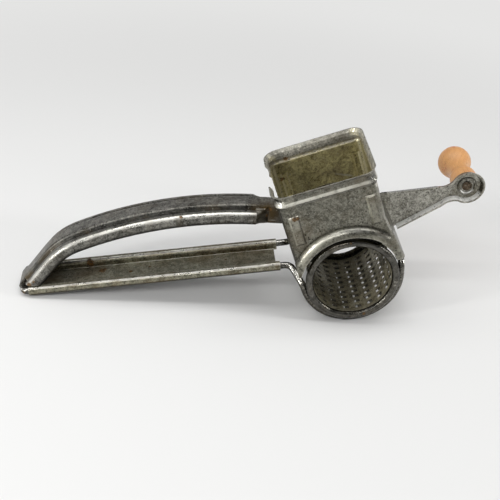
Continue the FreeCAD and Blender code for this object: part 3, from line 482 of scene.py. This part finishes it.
    def rust(self, spots):
        """Ragged spots of rust, each given by its place and radius."""
        n = self.n
        rust = None
        for place, radius in spots:
            ragged = n.weighted((n.math("SUBTRACT", self.medium, 0.5), radius * 3.0 * MM),
                                (n.math("SUBTRACT", self.fine, 0.5), radius * 1.5 * MM))
            reach = n.distance(self.bent, tuple(c * MM for c in place))
            spot = n.span_mm(n.math("ADD", reach, ragged), radius * 1.7, radius * 0.9)
            rust = spot if rust is None else n.math("MAXIMUM", rust, spot)
        return rust

    def relief(self, pit, scratch):
        """Gentle waves in the sheet, a fine tooth, the pits and the scratches."""
        n = self.n
        waves = n.bump(n.noise(self.where, 85.0, 2.0, 0.5), 0.9, 0.35)
        tooth = n.weighted((self.medium, 1.6), (self.fine, 1.5), (pit, -0.8))
        tooth = n.bump(tooth, 0.12, 0.7, waves)
        return n.bump(n.without(scratch), 0.03, 0.35, tooth)


def hopper_ribs(tin, rise, strength):
    """The hopper's raised ribs: a painted highlight on the flanks that face left, painted shade on
    those that face right, and a painted highlight along their tops on the front panel.

    Gives the ribs' own mask.
    """
    n = tin.n
    signed = n.math("SUBTRACT", n.dot(tin.where, HEAD_ACROSS),
                    Vector(HOPPER_MIDDLE).dot(Vector(HEAD_ACROSS)))
    across = n.math("ABSOLUTE", signed)
    panel = n.product(n.span(tin.facing["Y"], -0.05, -0.35),
                      n.span_mm(across, PANEL_END, PANEL_FULL))
    # painted shade on the flanks that face right, painted highlight on those that face left
    right = n.span(tin.facing["X"], 0.10, 0.40, 0.0, strength)
    tin.paint(n.product(right, panel), toned(tin.dark, 0.35))
    left = n.span(tin.facing["X"], -0.10, -0.40, 0.0, strength)
    tin.paint(n.product(left, panel), toned(tin.light, 1.25))
    # a painted highlight along the ribs' tops
    crest = n.product(n.span_mm(across, RIB_CREST_FROM, RIB_CREST_FULL),
                      n.span_mm(tin.aside, RIB_LOW, RIB_HIGH), panel,
                      tin.patchy(0.30, 0.62, 0.15, 0.60),
                      n.span_mm(signed, 5.0, -5.0, 0.70, 1.0))
    tin.paint(crest, toned(tin.light, 1.1))
    return n.product(n.span_mm(across, RIB_FROM, RIB_FULL),
                     n.span_mm(rise, RIB_TOP_END, RIB_TOP))


def hopper_ridge(tin, inside, rise):
    """The ridge round the hopper's waist: painted shade below it, a painted highlight along its
    top, tarnish in its hollow, and a painted highlight on the inner walls that slope sideways.
    """
    n = tin.n
    hollow = n.product(n.between(rise, RIDGE_HOLLOW), inside, n.span(tin.medium, 0.36, 0.60))
    tin.zone = n.math("MAXIMUM", tin.zone, n.product(hollow, 0.85))
    outside = n.without(inside)
    # painted shade below the ridge, outside
    under = n.product(n.between(rise, UNDER_RIDGE), tin.patchy(0.25, 0.55, 0.35, 0.85))
    tin.paint(n.product(under, outside), rgb(34, 31, 24))
    # a painted highlight along the ridge, outside
    crest = n.product(n.between(rise, RIDGE_CREST), tin.patchy(0.28, 0.52, 0.5, 0.95))
    tin.paint(n.product(crest, outside), rgb(226, 224, 212))
    # a painted highlight on the inner walls that slope sideways
    flank = n.span(n.math("ABSOLUTE", tin.facing["X"]), 0.15, 0.45, 0.0, 0.6)
    tin.paint(n.product(flank, inside, n.span(tin.facing["Y"], -0.3, -0.6)),
              rgb(222, 214, 178))


def hopper_tin():
    tin = Tin("hopper_tin", (66, 65, 57), (146, 144, 132))
    n = tin.n
    inside, rise, _ = tin.surround(HOPPER_LINE)
    tin.shade(0.8)
    ribs = hopper_ribs(tin, rise, 0.85)
    tin.film(0.2)
    collar = n.span_mm(tin.distance_to(COLLAR_MIDDLE), 40.0, 37.0, 0.0, 0.65)
    tin.paint_highlight(0.9, width=0.42, spared=(n.product(ribs, 0.7), collar))
    tin.cloud(0.5, (((-6.5, -28.5, 98.0), 9.0, 0.6),))
    lining = n.mix(tin.tone, rgb(100, 90, 50), rgb(204, 192, 134))
    # a painted highlight: the flared band inside the hopper's top, lighter than the lining below it
    rim = n.mix(tin.tone, rgb(120, 118, 108), rgb(226, 222, 208))
    tin.line(inside, n.mix(n.span_mm(rise, RIM_FROM, RIM_FULL), lining, rim))
    hopper_ridge(tin, inside, rise)
    return tin.finish(spots=(
        ((-39.0, -27.5, 70.9), 1.3), ((-37.4, -27.7, 71.2), 1.0), ((-39.3, 27.4, 80.6), 1.2),
        ((-40.1, 27.2, 66.8), 1.2), ((16.5, -21.6, 68.1), 1.5), ((15.4, -24.8, 66.0), 0.8)))


def handle_tin():
    tin = Tin("handle_tin", (60, 59, 55), (150, 148, 141))
    tin.shade(0.8)
    tin.painted_groove_shade((5.2, 5.8, 8.2, 9.0))
    tin.film(0.5)
    tin.paint_highlight(0.85, start=9.0)
    tin.cloud(0.3, (((-54.0, -6.0, 61.0), 14.0, 1.0), ((-190.0, -6.0, 8.0), 9.0, 0.6)))
    return tin.finish(rough=(0.24, 0.42), spots=(
        ((-102.1, -11.3, 59.6), 0.7), ((-50.2, -5.6, 63.7), 1.1), ((-51.7, -6.1, 60.5), 0.8),
        ((-190.0, -12.5, 8.4), 1.3), ((-186.9, -13.2, 11.2), 1.0)))


def trough_tin():
    tin = Tin("trough_tin", (92, 90, 77), (176, 173, 153))
    tin.shade(0.85)
    tin.film(0.6)
    tin.paint_highlight(0.9)
    tin.cloud(0.5, (((-185.0, 0.0, 4.0), 22.0, 0.7), ((-60.0, 8.0, 22.0), 30.0, 0.4),
                    ((-158.0, 6.0, 10.0), 16.0, 0.6)))
    return tin.finish(tarnish=(98, 76, 38), rough=(0.26, 0.42), spots=(
        ((-155.1, 10.2, 11.3), 2.0), ((-146.8, 4.7, 8.7), 2.0), ((-129.7, 0.6, 11.6), 1.0),
        ((-72.1, 3.3, 21.4), 0.9), ((-118.3, 4.0, 13.6), 0.7)))


def wire_tin():
    tin = Tin("wire_tin", (36, 35, 33), (136, 134, 126))
    tin.shade(0.8)
    tin.paint_highlight(0.8)
    tin.cloud(0.3)
    return tin.finish(rough=(0.16, 0.32), spots=(((-192.0, -11.0, 3.5), 1.5),))


def drum_tin():
    """The drum's wall: duller inside, with painted shade making the hollows of its teeth nearly
    black.
    """
    tin = Tin("drum_tin", (60, 58, 50), (150, 146, 128))
    n = tin.n
    inside, _, reach = tin.surround(DRUM_LINE)
    tin.cloud(0.4)
    tin.line(inside, n.mix(tin.tone, rgb(92, 86, 66), rgb(176, 168, 140)))

    def shade_in_dents(tin):
        # painted shade: the hollows of the teeth nearly black
        sunk = n.product(n.span_mm(reach, 23.5, 24.0), inside)
        tin.paint(n.product(sunk, 0.9), rgb(20, 18, 13))

    return tin.finish(soil_and_shade=0.85, wear=0.2, over_tarnish=shade_in_dents)


def rim_tin():
    tin = Tin("rim_tin", (14, 14, 13), (72, 70, 66))
    tin.painted_flank_shade(0.85)
    tin.cloud(0.3)
    return tin.finish(rough=(0.14, 0.30), wear=0.3,
                      spots=(((-5.0, -30.0, 58.0), 0.6), ((10.8, -30.0, 8.6), 0.9)))


def crank_tin():
    """The crank's arm, with a painted highlight on its lower lip and painted shade on its upper
    one.
    """
    tin = Tin("crank_tin", (84, 82, 75), (184, 182, 172))
    tin.cloud(0.5, (((86.0, 32.0, 62.0), 9.0, 0.7),))

    def lip_light_and_shade(tin):
        n = tin.n
        off = n.math("SUBTRACT", n.dot(tin.where, CRANK_SQUARE), CRANK_MIDDLE)
        top = n.product(n.span(tin.facing["Z"], 0.20, 0.45, 0.0, 0.95),
                        tin.patchy(0.25, 0.50, 0.75))
        # a painted highlight on the lower lip
        lower = n.product(top, n.span_mm(off, -1.0, -3.0))
        tin.paint(lower, rgb(252, 251, 246))
        tin.films.append(n.product(lower, 0.8))
        # painted shade on the upper lip
        tin.paint(n.product(top, n.span_mm(off, 3.0, 5.0, 0.0, 0.75)), rgb(62, 60, 54))

    return tin.finish(tarnish=(92, 84, 58), rough=(0.2, 0.38), soil_and_shade=0.3, over_tarnish=lip_light_and_shade)


def rivet_steel():
    tin = Tin("rivet_steel", (44, 38, 32), (124, 110, 92))
    tin.cloud(0.95)
    return tin.finish(tarnish=(70, 42, 26), wear=0.3)


# ---------------------------------------------------------------- wood
def knob_wood():
    """Turned knob of pale wood under worn varnish, its grain along the pin."""
    material = bpy.data.materials.new("knob_wood")
    material.use_nodes = True
    n = Nodes(material.node_tree)
    low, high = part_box("crank_knob")
    where = n.add("ShaderNodeTexCoord").outputs["Object"]
    local = n.vector("SUBTRACT", where, tuple((low + high) / 2))

    # rings of a trunk whose heart lies beside the knob
    flow = n.noise(n.stretched(local, (160.0, 30.0, 160.0)), 1.0, 3.0, 0.5)
    trunk = n.stretched(local, (1.0, 0.05, 1.0), (0.0, 0.0, 0.25))
    rings = n.weighted((n.distance(trunk, (0.011, 0.0, -0.006)), 3600.0), (flow, 3.0))
    band = n.math("ADD", n.product(n.math("SINE", rings), 0.5), 0.5)
    colour = n.mix(n.product(band, 0.30), rgb(228, 172, 112), rgb(210, 148, 90))

    fibre = n.noise(n.stretched(local, (2600.0, 120.0, 2600.0)), 1.0, 4.0, 0.6)
    colour = n.mix(n.span(fibre, 0.35, 0.7, 0.0, 0.35), colour, rgb(184, 118, 66))
    stain = n.product(n.span(n.noise(local, 130.0, 4.0, 0.6), 0.50, 0.70, 0.0, 0.9),
                      n.span(n.noise(local, 1100.0, 3.0), 0.46, 0.58))
    colour = n.mix(stain, colour, rgb(192, 88, 60))
    pores = n.noise(n.stretched(local, (1500.0, 90.0, 1500.0)), 1.0, 2.0, 0.5)
    pores = n.span(pores, 0.66, 0.72)
    colour = n.mix(n.product(pores, 0.5), colour, rgb(112, 66, 38))
    # soiling and painted shade in the knob's corners
    corner_soil_and_shade = n.span(n.open_sky(3.0, 8), 0.8, 0.2, 0.0, 0.7)
    colour = n.mix(corner_soil_and_shade, colour, rgb(60, 34, 20))

    shader = n.add("ShaderNodeBsdfPrincipled", {
        "Base Color": colour,
        "Roughness": n.span(n.noise(local, 240.0, 4.0), 0.3, 0.7, 0.34, 0.60),
        "Normal": n.bump(n.weighted((fibre, 0.5), (pores, -1.0)), 0.06, 0.5),
        "Coat Weight": 0.15, "Coat Roughness": 0.3})
    n.add("ShaderNodeOutputMaterial", {"Surface": shader.outputs[0]})
    return material


def dress(material, *names):
    for name in names:
        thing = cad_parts[name]
        thing.data.materials.clear()
        thing.data.materials.append(material)


make_camera()
make_floor()
make_world()
for lamp in LAMPS:
    area_lamp(*lamp)

dress(hopper_tin(), "hopper_front_shell", "hopper_back_shell")
dress(handle_tin(), "upper_handle", "presser_foot")
dress(trough_tin(), "lower_handle")
dress(wire_tin(), "wire_frame")
dress(drum_tin(), "drum_cylinder")
dress(rim_tin(), "drum_front_rim", "drum_back_ring")
dress(crank_tin(), "crank_arm")
dress(rivet_steel(), "crank_rivets", "knob_pin", "presser_rivets")
dress(knob_wood(), "crank_knob")
